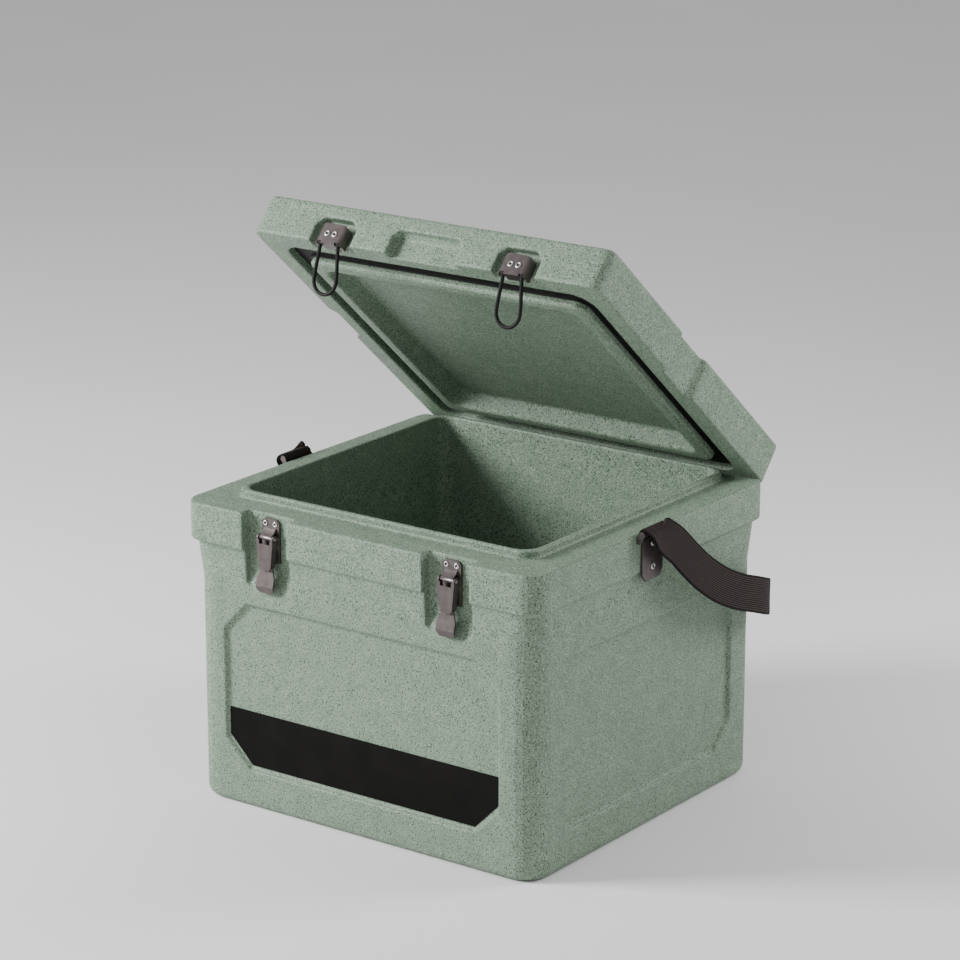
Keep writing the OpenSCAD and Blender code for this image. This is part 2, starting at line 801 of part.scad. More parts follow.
// rubber loop: two eyes on the pin, two strands and a rounded end
module catch_loop() {
    r = loop_wire / 2;
    drop = loop_len - r - loop_mid_half;
    spread = loop_mid_half - loop_top_half;
    color(black) rotate([-loop_lean, 0, 0]) difference() {
        union() {
            for (s = sides) {
                x_rod(s * loop_top_half - 1.8, s * loop_top_half + 1.8, 0, 0, eye_r);
                translate([s * loop_top_half, 0, 0]) rotate([0, 180 - s * atan2(spread, drop), 0])
                    cylinder(r = r, h = norm([spread, drop]), $fn = fine);
            }
            translate([0, 0, -drop]) rotate([90, 0, 0]) rotate([0, 0, 180])
                rotate_extrude(angle = 180, $fn = fine) translate([loop_mid_half, 0]) circle(r, $fn = fine);
        }
        x_rod(-block_w, block_w, 0, 0, pin_r + pin_play);
    }
}

// ---------------------------------------------------------------- nodes

tub_shell();
tub_foam_core();
front_label();
translate([-latch_x, 0, 0]) latch_plate();  // latch_plate_left
translate([latch_x, 0, 0]) latch_plate();  // latch_plate_right
latch_rivets();
translate([-latch_x, 0, 0]) latch_axle();  // latch_axle_left
translate([latch_x, 0, 0]) latch_axle();  // latch_axle_right
translate([-latch_x, 0, 0]) latch_lever();  // latch_lever_left
translate([latch_x, 0, 0]) latch_lever();  // latch_lever_right
on_side(-1) strap_bracket();  // strap_bracket_left
on_side(1) strap_bracket();  // strap_bracket_right
bracket_rivets();
carry_strap();
on_side(-1) hinge_rod();  // hinge_rod_left
on_side(1) hinge_rod();  // hinge_rod_right
hinge_plugs();
tub_fill_plug();
lid_fill_plug();
lid_shell();
lid_foam_core();
lid_gasket();
raise_lid() translate([-latch_x, 0, 0]) catch_block();  // catch_block_left
raise_lid() translate([latch_x, 0, 0]) catch_block();  // catch_block_right
catch_rivets();
raise_lid() translate([-latch_x, 0, 0]) loop_pin();  // loop_pin_left
raise_lid() translate([latch_x, 0, 0]) loop_pin();  // loop_pin_right
translate([-latch_x, raised_y, raised_z]) catch_loop();  // catch_loop_left
translate([latch_x, raised_y, raised_z]) catch_loop();  // catch_loop_right
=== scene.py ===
"""Looks of the cooler chest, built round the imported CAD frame. Metres, Z up."""
import json
import math

import bmesh
import bpy
from mathutils import Matrix, Vector


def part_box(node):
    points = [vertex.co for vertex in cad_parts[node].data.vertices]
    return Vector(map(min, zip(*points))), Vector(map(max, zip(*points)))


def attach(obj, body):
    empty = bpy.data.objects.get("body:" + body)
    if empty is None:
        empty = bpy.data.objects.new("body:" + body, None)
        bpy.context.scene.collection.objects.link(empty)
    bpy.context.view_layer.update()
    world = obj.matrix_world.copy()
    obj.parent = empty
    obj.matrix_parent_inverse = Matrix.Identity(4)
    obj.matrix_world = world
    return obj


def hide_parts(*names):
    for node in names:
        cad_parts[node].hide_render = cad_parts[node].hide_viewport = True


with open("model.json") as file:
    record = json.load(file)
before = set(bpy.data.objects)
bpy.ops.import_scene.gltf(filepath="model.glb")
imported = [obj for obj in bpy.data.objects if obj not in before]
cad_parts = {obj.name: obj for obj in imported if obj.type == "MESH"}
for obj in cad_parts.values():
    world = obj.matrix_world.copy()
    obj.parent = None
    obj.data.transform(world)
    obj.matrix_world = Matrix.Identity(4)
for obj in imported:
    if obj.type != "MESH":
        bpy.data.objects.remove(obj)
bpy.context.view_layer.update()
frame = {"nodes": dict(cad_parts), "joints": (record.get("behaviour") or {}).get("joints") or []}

MM = 0.001
SIDES = {"left": -1, "right": 1}

# the camera stands where the photograph was taken from
CAMERA_AT = Vector((1.7496, -2.3817, 1.1585))
CAMERA_TARGET = Vector((0.0022, 0.0, 0.2756))
CAMERA_LENS = 134.8

# moulded parts: the grid they are rebuilt on, the rounds of softening, the triangles kept
MOULD_GRID = 1.2 * MM
MOULD_SMOOTHING = 2
MOULD_FACES = 160_000

# hinge notches of the tub: their places, how far the floor lies under the hinge line, the easing
NOTCH_MIDDLE = 74.7 * MM
NOTCH_HALF = 19.75 * MM
NOTCH_FLOOR_DROP = 6.9 * MM
NOTCH_EASE = 0.7 * MM

# webbing, as in the CAD part; the bar it is folded round is (x, z), and the wrap's radius is the
# bar, a small gap and half the webbing; the route is (x, y, z, turn); all in mm and degrees
STRAP_WIDTH = 32 * MM
STRAP_THICKNESS = 2.2 * MM
STRAP_RIBS = 18
STRAP_RIB_HEIGHT = 0.14 * MM
WEFT_STEP = 1.6 * MM
STRAP_Y = -13.5
BAR = (190.2, 268.5)
BAR_WRAP_RADIUS = 2.4 + 0.15 + 1.1
STRAP_ROUTE = [
    (196, -13.5, 269.8, 2), (199, -7, 262.8, 14), (200.5, 7, 252, 27), (202, 24, 236, 38),
    (202.5, 46, 218, 50), (202.5, 73.5, 200.5, 64), (202, 103, 186.5, 78), (200.5, 132, 176, 87),
    (196.5, 156, 167, 90), (187, 175, 160, 90), (171, 187, 154.5, 90), (150, 191.5, 150.5, 90),
    (110, 192.5, 146.5, 90), (55, 193, 143.5, 90), (0, 193, 142.5, 90)]

# catch loop: the rubber's thickness and length, half widths at its top and middle, its lean
LOOP_WIRE = 3.2 * MM
LOOP_LENGTH = 45 * MM
LOOP_TOP = 9.5 * MM
LOOP_MIDDLE = 11.8 * MM
LOOP_LEAN = math.radians(12)
EYE_BORE = 1.32 * MM
EYE_RADIUS = 2.25 * MM
EYE_HALF_WIDTH = 1.7 * MM
EYE_BEVEL = (0.25 * MM, 0.4 * MM)

# rivets: how far they stand out, the size of their hole whose floor is painted black as shade, and each
# group's outer radius
RIVET_STAND = 0.9 * MM
RIVET_HOLE_SHARE = 0.48
LATCH_RIVET = 2.45 * MM
BRACKET_RIVET = 3.0 * MM
CATCH_RIVET = 2.7 * MM

# latch axles: the shank between the heads as a share of their radius
AXLE_SHANK_SHARE = 0.86

# studio: (name, place, aim, size, power) of each lamp
FLOOR_SIZE = 30
WORLD_STRENGTH = 0.5
LAMPS = [
    ("key_left", (-1.5, -1.3, 1.2), (0, 0, 0.25), (0.7, 0.8), 72),
    ("rim_right_back", (0.85, 0.75, 0.8), (0.15, 0.12, 0.3), (0.5, 0.6), 9)]


# ---------------------------------------------------------------- node helpers

class Nodes:
    """Short way to write a material's node tree."""

    def __init__(self, name):
        self.material = bpy.data.materials.new(name)
        self.material.use_nodes = True
        self.tree = self.material.node_tree
        self.shader = self.tree.nodes["Principled BSDF"]

    def add(self, kind, **settings):
        node = self.tree.nodes.new(kind)
        for key, value in settings.items():
            setattr(node, key, value)
        return node

    def link(self, source, target):
        self.tree.links.new(source, target)

    def set(self, **values):
        for name, value in values.items():
            self.shader.inputs[name.replace("_", " ")].default_value = value

    def position(self):
        return self.add("ShaderNodeTexCoord").outputs["Object"]

    def noise(self, size, detail=2.0, roughness=0.5, where=None):
        """Noise whose blobs are about size metres across."""
        node = self.add("ShaderNodeTexNoise")
        node.inputs["Scale"].default_value = 1 / size
        node.inputs["Detail"].default_value = detail
        node.inputs["Roughness"].default_value = roughness
        self.link(where or self.position(), node.inputs["Vector"])
        return node.outputs["Fac"]

    def ramp(self, value, *stops):
        node = self.add("ShaderNodeValToRGB")
        ramp = node.color_ramp
        while len(ramp.elements) < len(stops):
            ramp.elements.new(0.5)
        for element, (place, color) in zip(ramp.elements, stops):
            element.position = place
            element.color = (*color, 1) if len(color) == 3 else (color[0],) * 3 + (1,)
        self.link(value, node.inputs["Fac"])
        return node.outputs["Color"]

    def mix(self, factor, a, b, blend="MIX"):
        node = self.add("ShaderNodeMix", data_type="RGBA", blend_type=blend)
        for value, socket in ((factor, node.inputs[0]), (a, node.inputs[6]), (b, node.inputs[7])):
            if isinstance(value, (tuple, float, int)):
                socket.default_value = (*value, 1) if isinstance(value, tuple) else value
            else:
                self.link(value, socket)
        return node.outputs[2]

    def math(self, operation, a, b=0.0):
        node = self.add("ShaderNodeMath", operation=operation)
        for value, socket in ((a, node.inputs[0]), (b, node.inputs[1])):
            if isinstance(value, (float, int)):
                socket.default_value = value
            else:
                self.link(value, socket)
        return node.outputs[0]

    def color(self, value):
        self.link(value, self.shader.inputs["Base Color"])

    def roughness(self, value, low, high):
        node = self.add("ShaderNodeMapRange")
        node.inputs["To Min"].default_value = low
        node.inputs["To Max"].default_value = high
        self.link(value, node.inputs["Value"])
        self.link(node.outputs["Result"], self.shader.inputs["Roughness"])

    def bump(self, *layers):
        """Each layer is (height, distance in metres, strength)."""
        normal = None
        for height, distance, strength in layers:
            node = self.add("ShaderNodeBump")
            node.inputs["Distance"].default_value = distance
            node.inputs["Strength"].default_value = strength
            self.link(height, node.inputs["Height"])
            if normal is not None:
                self.link(normal, node.inputs["Normal"])
            normal = node.outputs["Normal"]
        self.link(normal, self.shader.inputs["Normal"])


# ---------------------------------------------------------------- materials

def granite_plastic():
    """Sage polyethylene with dark green granite flecks and the fine grain of the mould."""
    m = Nodes("granite_plastic")
    cloud = m.noise(14 * MM, 3.0)
    base = m.ramp(cloud, (0.32, (0.205, 0.280, 0.206)), (0.68, (0.265, 0.342, 0.256)))
    grain = m.noise(1.0 * MM, 2.0, 0.6)
    base = m.mix(m.ramp(grain, (0.38, (0.95,)), (0.56, (0,))), base, (0.105, 0.165, 0.112))
    fleck = m.noise(1.35 * MM, 1.0, 0.4)
    base = m.mix(m.ramp(fleck, (0.350, (0.95,)), (0.410, (0,))), base, (0.030, 0.066, 0.040))
    pale = m.noise(1.3 * MM, 1.0, 0.5)
    base = m.mix(m.ramp(pale, (0.60, (0,)), (0.70, (0.6,))), base, (0.48, 0.56, 0.45))
    m.color(base)
    m.roughness(m.noise(3 * MM, 4.0), 0.46, 0.62)
    m.bump((m.noise(6 * MM, 3.0), 0.2 * MM, 0.2), (m.noise(0.9 * MM, 2.0), 0.08 * MM, 0.3))
    m.set(Specular_IOR_Level=0.4)
    return m.material


def coated_metal():
    """Warm grey satin coating with faint brushing and small dulled patches."""
    m = Nodes("coated_metal")
    tone = m.noise(6 * MM, 4.0)
    m.color(m.ramp(tone, (0.3, (0.085, 0.070, 0.068)), (0.7, (0.125, 0.105, 0.102))))
    grain = m.noise(0.6 * MM, 2.0)
    m.roughness(m.noise(4 * MM, 5.0), 0.30, 0.46)
    m.bump((grain, 0.03 * MM, 0.25))
    m.set(Metallic=0.65)
    return m.material


def bright_steel():
    """Turned steel: fine rings of brushing and a few duller patches."""
    m = Nodes("bright_steel")
    m.color(m.ramp(m.noise(2 * MM, 3.0), (0.3, (0.56, 0.55, 0.54)), (0.7, (0.74, 0.73, 0.72))))
    m.roughness(m.noise(0.8 * MM, 4.0), 0.18, 0.36)
    m.bump((m.noise(0.4 * MM, 2.0), 0.02 * MM, 0.2))
    m.set(Metallic=1.0)
    return m.material


def dull_steel():
    """Steel of the latch axles, darker than the rivets."""
    m = Nodes("dull_steel")
    m.color(m.ramp(m.noise(2 * MM, 3.0), (0.3, (0.24, 0.22, 0.215)), (0.7, (0.34, 0.31, 0.30))))
    m.roughness(m.noise(0.8 * MM, 4.0), 0.24, 0.40)
    m.bump((m.noise(0.4 * MM, 2.0), 0.02 * MM, 0.2))
    m.set(Metallic=0.9)
    return m.material


def black_rubber():
    m = Nodes("black_rubber")
    m.color(m.ramp(m.noise(3 * MM, 3.0), (0.3, (0.004, 0.004, 0.004)), (0.7, (0.008, 0.0075, 0.007))))
    m.roughness(m.noise(1.5 * MM, 4.0), 0.48, 0.66)
    m.bump((m.noise(0.7 * MM, 3.0), 0.05 * MM, 0.3))
    m.set(Specular_IOR_Level=0.22)
    return m.material


# black plastic of the fill plugs, also used as painted shade on the rivet hole floors
def black_plastic_and_painted_shade():
    m = Nodes("black_plastic_and_painted_shade")
    m.color(m.ramp(m.noise(5 * MM, 3.0), (0.3, (0.014, 0.014, 0.014)), (0.7, (0.026, 0.026, 0.026))))
    m.roughness(m.noise(2 * MM, 3.0), 0.35, 0.50)
    m.bump((m.noise(1.0 * MM, 3.0), 0.06 * MM, 0.35))
    return m.material


def label_film():
    """Printed film: nearly black, satin, with the faint dimpling of the moulding behind it."""
    m = Nodes("label_film")
    m.color(m.ramp(m.noise(25 * MM, 3.0), (0.3, (0.0035, 0.0032, 0.0029)), (0.7, (0.0060, 0.0054, 0.0050))))
    m.roughness(m.noise(12 * MM, 3.0), 0.50, 0.62)
    m.bump((m.noise(8 * MM, 2.0), 0.08 * MM, 0.15))
    m.set(Specular_IOR_Level=0.08)
    return m.material


def foam():
    m = Nodes("foam")
    m.color(m.ramp(m.noise(3 * MM, 4.0), (0.3, (0.62, 0.52, 0.28)), (0.7, (0.78, 0.70, 0.44))))
    m.roughness(m.noise(1 * MM, 3.0), 0.8, 0.95)
    m.bump((m.noise(0.8 * MM, 4.0), 0.3 * MM, 0.8))
    return m.material


def woven_webbing():
    """Warp ribs run along the strap, and the weft shows as short slanted steps between them; the colour is
    painted darker in the low places of the weave as shade.
    """
    m = Nodes("woven_webbing")
    uv = m.add("ShaderNodeUVMap", uv_map="strap").outputs["UV"]
    split = m.add("ShaderNodeSeparateXYZ")
    m.link(uv, split.inputs[0])
    across, along = split.outputs["X"], split.outputs["Y"]
    rib = m.math("SINE", m.math("MULTIPLY", across, math.pi * STRAP_RIBS))
    rib = m.math("ABSOLUTE", rib)
    step = m.math("ADD", m.math("MULTIPLY", along, 2 * math.pi / WEFT_STEP),
                  m.math("MULTIPLY", across, math.pi * STRAP_RIBS))
    weft = m.math("ABSOLUTE", m.math("SINE", m.math("MULTIPLY", step, 0.5)))
    height = m.math("MULTIPLY", rib, m.math("ADD", m.math("MULTIPLY", weft, 0.55), 0.45))
    # colour follows the weave's height: painted shade, nearly black in the valleys between ribs and weft
    # steps
    thread_with_painted_shade = m.ramp(height, (0.25, (0.0010, 0.0008, 0.0008)), (0.95, (0.070, 0.053, 0.048)))
    from_edge = m.math("ABSOLUTE", m.math("SUBTRACT", across, 0.5))
    thread_with_painted_shade = m.mix(m.ramp(from_edge, (0.44, (0,)), (0.47, (0.85,))), thread_with_painted_shade, (0.0015, 0.0012, 0.0012))
    wear = m.noise(14 * MM, 4.0)
    m.color(m.mix(m.ramp(wear, (0.50, (0,)), (0.80, (0.15,))), thread_with_painted_shade, (0.028, 0.022, 0.021)))
    m.roughness(m.noise(4 * MM, 3.0), 0.70, 0.88)
    m.bump((height, 0.30 * MM, 0.8), (m.noise(0.7 * MM, 2.0), 0.05 * MM, 0.4))
    m.set(Specular_IOR_Level=0.15)
    return m.material


GRANITE = granite_plastic()
COATED = coated_metal()
STEEL = bright_steel()
AXLE_STEEL = dull_steel()
RUBBER = black_rubber()
PLASTIC_AND_PAINTED_SHADE = black_plastic_and_painted_shade()
LABEL = label_film()
FOAM = foam()
WEBBING = woven_webbing()


# ---------------------------------------------------------------- mesh helpers

def new_piece(name, mesh, material, body):
    """Links a mesh as a shown piece that rides on a body."""
    piece = bpy.data.objects.new(name, mesh)
    bpy.context.scene.collection.objects.link(piece)
    mesh.materials.clear()
    mesh.materials.append(material)
    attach(piece, body)
    return piece


def mesh_from(name, build):
    """Makes a mesh by calling build(bm)."""
    bm = bmesh.new()
    build(bm)
    bmesh.ops.recalc_face_normals(bm, faces=bm.faces)
    mesh = bpy.data.meshes.new(name)
    bm.to_mesh(mesh)
    bm.free()
    mesh.polygons.foreach_set("use_smooth", [True] * len(mesh.polygons))
    return mesh


def joined_copy(name, nodes):
    """One mesh holding copies of several CAD nodes, with doubled corners merged."""
    def build(bm):
        for node in nodes:
            bm.from_mesh(frame["nodes"][node].data)
        bmesh.ops.remove_doubles(bm, verts=bm.verts, dist=1e-6)
    return mesh_from(name, build)


def modified(mesh, *modifiers):
    """The mesh after a list of (type, settings) modifiers."""
    holder = bpy.data.objects.new("holder", mesh)
    bpy.context.scene.collection.objects.link(holder)
    for kind, settings in modifiers:
        modifier = holder.modifiers.new(kind.lower(), kind)
        for key, value in settings.items():
            setattr(modifier, key, value)
    evaluated = holder.evaluated_get(bpy.context.evaluated_depsgraph_get())
    result = bpy.data.meshes.new_from_object(evaluated)
    bpy.data.objects.remove(holder)
    result.name = mesh.name
    return result


def softened(mesh):
    """A moulded part: rebuilt on a fine grid, its edges relaxed, then thinned where it is flat."""
    mesh = modified(mesh, ("REMESH", {"mode": "VOXEL", "voxel_size": MOULD_GRID}),
                    ("SMOOTH", {"factor": 0.5, "iterations": MOULD_SMOOTHING}))
    triangles = 2 * len(mesh.polygons)
    mesh = modified(mesh, ("DECIMATE", {"ratio": min(1.0, MOULD_FACES / triangles)}))
    mesh.polygons.foreach_set("use_smooth", [True] * len(mesh.polygons))
    return modified(mesh, ("WEIGHTED_NORMAL", {"weight": 50, "keep_sharp": False}))


def edged(node, width, segments=2, angle=30):
    """A CAD node's mesh with its edges rounded."""
    def build(bm):
        bm.from_mesh(frame["nodes"][node].data)
        bmesh.ops.remove_doubles(bm, verts=bm.verts, dist=1e-6)
        bmesh.ops.dissolve_limit(bm, angle_limit=math.radians(1), verts=bm.verts, edges=bm.edges)
    mesh = mesh_from(node + "_edged", build)
    bevel = {"width": width, "segments": segments, "limit_method": "ANGLE",
             "angle_limit": math.radians(angle), "harden_normals": True}
    return modified(mesh, ("BEVEL", bevel), ("WEIGHTED_NORMAL", {"weight": 50}))


def tube(bm, points, radius, around=12):
    """Sweeps a round section along a list of points and closes both ends."""
    rings = []
    up = Vector((0, 1, 0.2)).normalized()
    for i, point in enumerate(points):
        ahead = points[min(i + 1, len(points) - 1)] - points[max(i - 1, 0)]
        ahead.normalize()
        side = ahead.cross(up).normalized()
        lift = side.cross(ahead)
        rings.append([bm.verts.new(point + radius * (math.cos(a) * side + math.sin(a) * lift))
                      for a in (2 * math.pi * k / around for k in range(around))])
    for first, second in zip(rings, rings[1:]):
        for k in range(around):
            j = (k + 1) % around
            bm.faces.new((first[k], first[j], second[j], second[k]))
    bm.faces.new(rings[0])
    bm.faces.new(list(reversed(rings[-1])))


def turned(bm, profile, place, around=28):
    """Spins a profile of (radius, height) pairs about the Z axis of the matrix place."""
    rings = []
    for radius, height in profile:
        if radius == 0:
            rings.append([bm.verts.new(place @ Vector((0, 0, height)))])
        else:
            rings.append([bm.verts.new(place @ Vector((radius * math.cos(a), radius * math.sin(a), height)))
                          for a in (2 * math.pi * k / around for k in range(around))])
    for first, second in zip(rings, rings[1:]):
        for k in range(around):
            j = (k + 1) % around
            if len(second) == 1:
                bm.faces.new((first[k], first[j], second[0]))
            elif len(first) == 1:
                bm.faces.new((first[0], second[k], second[j]))
            else:
                bm.faces.new((first[k], first[j], second[j], second[k]))
    for ring, back in ((rings[0], True), (rings[-1], False)):
        if len(ring) > 1:
            bm.faces.new(list(reversed(ring)) if back else ring)


def solid_middles(node):
    """The middle of each separate solid in a CAD node."""
    bm = bmesh.new()
    bm.from_mesh(frame["nodes"][node].data)
    bmesh.ops.remove_doubles(bm, verts=bm.verts, dist=1e-6)
    left = set(bm.verts)
    found = []
    while left:
        stack = [left.pop()]
        group = []
        while stack:
            vert = stack.pop()
            group.append(vert.co.copy())
            for edge in vert.link_edges:
                other = edge.other_vert(vert)
                if other in left:
                    left.remove(other)
                    stack.append(other)
        found.append(sum(group, Vector()) / len(group))
    bm.free()
    return sorted(found, key=lambda p: (round(p.x, 4), round(p.z, 4)))


# ---------------------------------------------------------------- the lid's own frame

LID_HINGE = next(j for j in frame["joints"] if j["name"] == "lid_hinge")
HINGE_AT = Vector(LID_HINGE["pos_m"])
CLOSING = Matrix.Rotation(math.radians(LID_HINGE["range_deg"][0]), 4, Vector(LID_HINGE["axis"]))
TO_CLOSED = Matrix.Translation(HINGE_AT) @ CLOSING @ Matrix.Translation(-HINGE_AT)
TO_RAISED = TO_CLOSED.inverted()


# ---------------------------------------------------------------- tub and lid

def ease_knuckle_notches(mesh):
    """Opens the hinge notches a little on three sides, so that softened faces stay clear."""
    floor = HINGE_AT.z - NOTCH_FLOOR_DROP
    near = NOTCH_EASE / 10
    for vertex in mesh.vertices:
        place = vertex.co
        if place.y < HINGE_AT.y - NOTCH_FLOOR_DROP - near or place.z < floor - near:
            continue
        from_middle = abs(place.x) - NOTCH_MIDDLE
        if abs(abs(from_middle) - NOTCH_HALF) < near:
            place.x += math.copysign(NOTCH_EASE, from_middle * place.x)
        if abs(place.z - floor) < near:
            place.z -= NOTCH_EASE


def build_tub():
    mesh = joined_copy("tub", ["tub_shell", "tub_foam_core", "hinge_plugs"])
    ease_knuckle_notches(mesh)
    mesh = softened(mesh)
    piece = new_piece("tub_moulding", mesh, GRANITE, "tub")
    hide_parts("tub_shell", "hinge_plugs")


def build_lid():
    mesh = joined_copy("lid", ["lid_shell", "lid_foam_core"])
    mesh.transform(TO_CLOSED)
    mesh = softened(mesh)
    mesh.transform(TO_RAISED)
    piece = new_piece("lid_moulding", mesh, GRANITE, "lid")
    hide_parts("lid_shell")


def build_small_mouldings():
    for node, material, body, slot_name, width in (
            ("lid_gasket", RUBBER, "lid", "rubber_black", 0.4),
            ("front_label", LABEL, "tub", "label_black", 0.15),
            ("tub_fill_plug", PLASTIC_AND_PAINTED_SHADE, "tub", "plug_black", 0.5),
            ("lid_fill_plug", PLASTIC_AND_PAINTED_SHADE, "lid", "plug_black", 0.5)):
        piece = new_piece(node + "_piece", edged(node, width * MM), material, body)
        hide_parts(node)


# ---------------------------------------------------------------- metalwork

def build_metal():
    """Coated plates, levers, brackets and blocks, with their edges broken."""
    for side in SIDES:
        for node, body, slot_name, width in (
                (f"latch_plate_{side}", "tub", "latch_metal", 0.35),
                (f"latch_lever_{side}", f"lever_{side}", "latch_metal", 0.25),
                (f"strap_bracket_{side}", "tub", "bracket_metal", 0.3),
                (f"catch_block_{side}", "lid", "latch_metal", 0.8)):
            piece = new_piece(node + "_piece", edged(node, width * MM), COATED, body)
            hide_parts(node)


def rivet_profile(radius, stand):
    """Domed ring with a shallow hole in the middle; build_rivets paints its floor black as painted shade.
    """
    return [(radius, 0), (radius, 0.45 * stand), (0.93 * radius, 0.8 * stand), (0.80 * radius, stand),
            (0.60 * radius, stand), (0.47 * radius, 0.75 * stand), (0.42 * radius, 0.1 * stand),
            (0, 0.1 * stand)]


def build_rivets():
    front = Matrix.Rotation(math.radians(90), 4, "X")
    raised_front = TO_RAISED.to_3x3().to_4x4() @ front
    right = Matrix.Rotation(math.radians(90), 4, "Y")
    groups = (("latch_rivets", "tub", LATCH_RIVET, front, front),
              ("bracket_rivets", "tub", BRACKET_RIVET, right, right.inverted()),
              ("catch_rivets", "lid", CATCH_RIVET, raised_front, raised_front))
    for node, body, radius, right_turn, left_turn in groups:
        middles = solid_middles(node)

        def build(bm):
            for middle in middles:
                turn = right_turn if middle.x > 0 else left_turn
                foot = middle - turn @ Vector((0, 0, RIVET_STAND / 2))
                turned(bm, rivet_profile(radius, RIVET_STAND), Matrix.Translation(foot) @ turn)

        mesh = mesh_from(node, build)
        piece = new_piece(node + "_piece", mesh, STEEL, body)
        # faces of the shallow hole get black plastic: painted shade standing in for the deep hollow of the
        # rivet
        mesh.materials.append(PLASTIC_AND_PAINTED_SHADE)
        for face in mesh.polygons:
            if min((face.center - middle).length for middle in middles) < RIVET_HOLE_SHARE * radius:
                face.material_index = 1
        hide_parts(node)


def build_axles():
    """Latch axles with domed heads on both ends."""
    for side in SIDES:
        node = f"latch_axle_{side}"
        low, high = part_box(node)
        middle = (low + high) / 2
        half = (high.x - low.x) / 2
        r = (high.z - low.z) / 2
        head = [(0, half), (0.7 * r, half - 0.05 * MM), (r, half - 0.5 * MM), (r, half - 1.6 * MM),
                (AXLE_SHANK_SHARE * r, half - 1.9 * MM)]
        profile = [(radius, -height) for radius, height in head] + head[::-1]
        place = Matrix.Translation(middle) @ Matrix.Rotation(math.radians(90), 4, "Y")
        piece = new_piece(node + "_piece", mesh_from(node, lambda bm: turned(bm, profile, place)),
                          AXLE_STEEL, "tub")
        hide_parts(node)


# ---------------------------------------------------------------- rubber catch loops

def loop_path():
    """One side of the loop from the pin down, bowed out a little, round the end and back up."""
    drop = LOOP_LENGTH - LOOP_WIRE / 2 - LOOP_MIDDLE
    strand = []
    for i in range(13):
        t = i / 12
        bow = LOOP_TOP + (LOOP_MIDDLE - LOOP_TOP) * t * t * (3 - 2 * t)
        strand.append(Vector((bow, 0, -t * drop)))
    end = [Vector((LOOP_MIDDLE * math.cos(a), 0, -drop - LOOP_MIDDLE * math.sin(a)))
           for a in (math.pi * k / 16 for k in range(1, 16))]
    mirrored = [Vector((-p.x, p.y, p.z)) for p in reversed(strand)]
    return strand + end + mirrored


def eye_profile():
    """Section of the ring that turns on the pin, its outer edges bevelled."""
    inwards, along = EYE_BEVEL
    upper = [(EYE_RADIUS, EYE_HALF_WIDTH - along), (EYE_RADIUS - inwards, EYE_HALF_WIDTH),
             (EYE_BORE, EYE_HALF_WIDTH)]
    return [(radius, -height) for radius, height in reversed(upper)] + upper


def build_loops():
    lean = Matrix.Rotation(-LOOP_LEAN, 4, "X")
    eye = eye_profile()
    for side in SIDES:
        pin = next(Vector(j["pos_m"]) for j in frame["joints"] if j["name"] == f"catch_loop_{side}_swing")
        place = Matrix.Translation(pin) @ lean

        def build(bm):
            tube(bm, [place @ p for p in loop_path()], LOOP_WIRE / 2)
            for x in (-LOOP_TOP, LOOP_TOP):
                turn = Matrix.Translation((x, 0, 0)) @ Matrix.Rotation(math.radians(90), 4, "Y")
                turned(bm, eye + [eye[0]], place @ turn)

        piece = new_piece(f"catch_loop_{side}_piece", mesh_from("catch_loop", build), RUBBER,
                          f"loop_{side}")
        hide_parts(f"catch_loop_{side}")


# ---------------------------------------------------------------- webbing strap

def strap_knots():
    """(place, turn of the width from Y towards Z in degrees) from the right end to the middle."""
    wrap = []
    for degrees in range(-60, -261, -20):
        a = math.radians(degrees)
        x = BAR[0] + BAR_WRAP_RADIUS * math.cos(a)
        z = BAR[1] + BAR_WRAP_RADIUS * math.sin(a)
        wrap.append((Vector((x, STRAP_Y, z)), 0))
    return wrap + [(Vector((x, y, z)), turn) for x, y, z, turn in STRAP_ROUTE]


def strap_line(steps=8):
    """Smooth route from end to end: the right half and its mirror image."""
    half = strap_knots()
    whole = half + [(Vector((-p.x, p.y, p.z)), turn) for p, turn in reversed(half[:-1])]
    line = []
    for i in range(len(whole) - 1):
        four = [whole[max(0, min(len(whole) - 1, i + k))] for k in (-1, 0, 1, 2)]
        for k in range(steps):
            t = k / steps
            weights = (0.5 * (-t + 2 * t * t - t ** 3), 0.5 * (2 - 5 * t * t + 3 * t ** 3),
                       0.5 * (t + 4 * t * t - 3 * t ** 3), 0.5 * (t ** 3 - t * t))
            place = sum((w * p for w, (p, _) in zip(weights, four)), Vector())
            turn = sum(w * a for w, (_, a) in zip(weights, four))
            line.append((place * MM, math.radians(turn)))
    line.append((whole[-1][0] * MM, math.radians(whole[-1][1])))
    return line


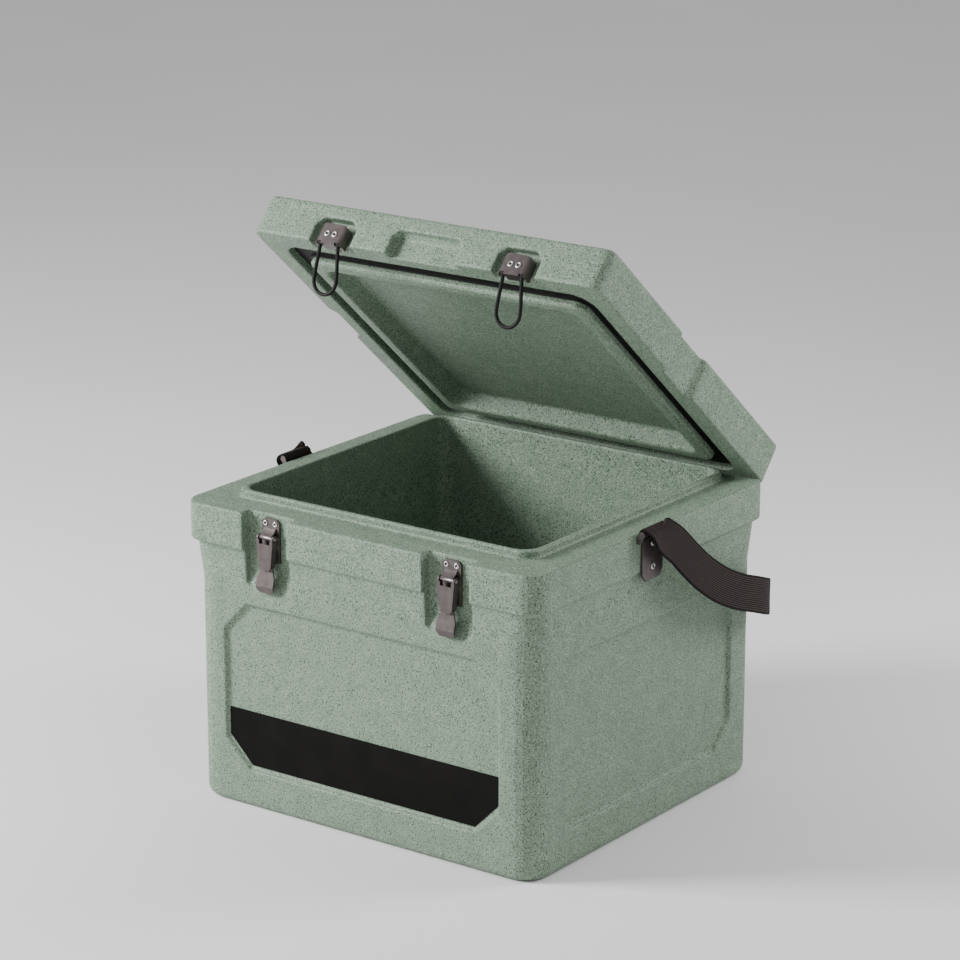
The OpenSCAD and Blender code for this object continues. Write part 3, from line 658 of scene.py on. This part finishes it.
def build_strap():
    line = strap_line()
    columns = 2 * STRAP_RIBS
    bm = bmesh.new()
    uv = bm.loops.layers.uv.new("strap")
    where = {}
    rows = []
    length = 0.0
    for i, (place, turn) in enumerate(line):
        if i:
            length += (place - line[i - 1][0]).length
        ahead = (line[min(i + 1, len(line) - 1)][0] - line[max(i - 1, 0)][0]).normalized()
        width = Vector((0, math.cos(turn), math.sin(turn)))
        width = (width - ahead * width.dot(ahead)).normalized()
        out = ahead.cross(width)
        row = []
        for face in (1, -1):
            for k in range(columns + 1):
                across = k / columns if face > 0 else 1 - k / columns
                edge = min(k, columns - k)
                half = STRAP_THICKNESS / 2 * (0.55 if edge == 0 else 0.9 if edge == 1 else 1)
                half -= STRAP_RIB_HEIGHT if k % 2 == 0 else 0
                vert = bm.verts.new(place + width * (across - 0.5) * STRAP_WIDTH + out * face * half)
                where[vert] = (across, length)
                row.append(vert)
        rows.append(row)
    for first, second in zip(rows, rows[1:]):
        for k in range(len(first)):
            j = (k + 1) % len(first)
            bm.faces.new((first[k], first[j], second[j], second[k]))
    bm.faces.new(rows[0])
    bm.faces.new(list(reversed(rows[-1])))
    for face in bm.faces:
        for loop in face.loops:
            loop[uv].uv = where[loop.vert]
    bmesh.ops.recalc_face_normals(bm, faces=bm.faces)
    mesh = bpy.data.meshes.new("carry_strap")
    bm.to_mesh(mesh)
    bm.free()
    mesh.polygons.foreach_set("use_smooth", [True] * len(mesh.polygons))
    piece = new_piece("carry_strap_webbing", mesh, WEBBING, "tub")
    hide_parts("carry_strap")


# ---------------------------------------------------------------- floor, lights and camera

def paint_kept_nodes():
    """Materials of the CAD nodes that stay in view as they are."""
    kept = {"hinge_rod_left": STEEL, "hinge_rod_right": STEEL, "loop_pin_left": STEEL,
            "loop_pin_right": STEEL, "tub_foam_core": FOAM, "lid_foam_core": FOAM}
    for node, material in kept.items():
        frame["nodes"][node].data.materials.clear()
        frame["nodes"][node].data.materials.append(material)


def build_stage():
    bpy.ops.mesh.primitive_plane_add(size=FLOOR_SIZE)
    floor = bpy.context.object
    floor.name = "floor"
    m = Nodes("floor_paper")
    m.color(m.ramp(m.noise(0.4, 2.0), (0.3, (0.90, 0.90, 0.90)), (0.7, (0.93, 0.93, 0.93))))
    m.set(Roughness=0.9, Specular_IOR_Level=0.1)
    floor.data.materials.append(m.material)
    world = bpy.data.worlds.new("studio")
    world.use_nodes = True
    world.node_tree.nodes["Background"].inputs["Color"].default_value = (1.0, 1.0, 1.0, 1)
    world.node_tree.nodes["Background"].inputs["Strength"].default_value = WORLD_STRENGTH
    bpy.context.scene.world = world


def area_light(name, place, aim, size, power):
    light = bpy.data.lights.new(name, "AREA")
    light.shape = "RECTANGLE"
    light.size, light.size_y = size
    light.energy = power
    holder = bpy.data.objects.new(name, light)
    holder.location = place
    holder.rotation_euler = (Vector(aim) - Vector(place)).to_track_quat("-Z", "Y").to_euler()
    bpy.context.scene.collection.objects.link(holder)


def build_lights():
    for lamp in LAMPS:
        area_light(*lamp)


def build_camera():
    camera = bpy.data.cameras.new("camera")
    camera.sensor_width = 36
    camera.lens = CAMERA_LENS
    camera.clip_end = 50
    holder = bpy.data.objects.new("camera", camera)
    holder.location = CAMERA_AT
    holder.rotation_euler = (CAMERA_TARGET - CAMERA_AT).to_track_quat("-Z", "Y").to_euler()
    bpy.context.scene.collection.objects.link(holder)
    bpy.context.scene.camera = holder


build_camera()
build_stage()
build_lights()
paint_kept_nodes()
build_tub()
build_lid()
build_small_mouldings()
build_metal()
build_rivets()
build_axles()
build_loops()
build_strap()
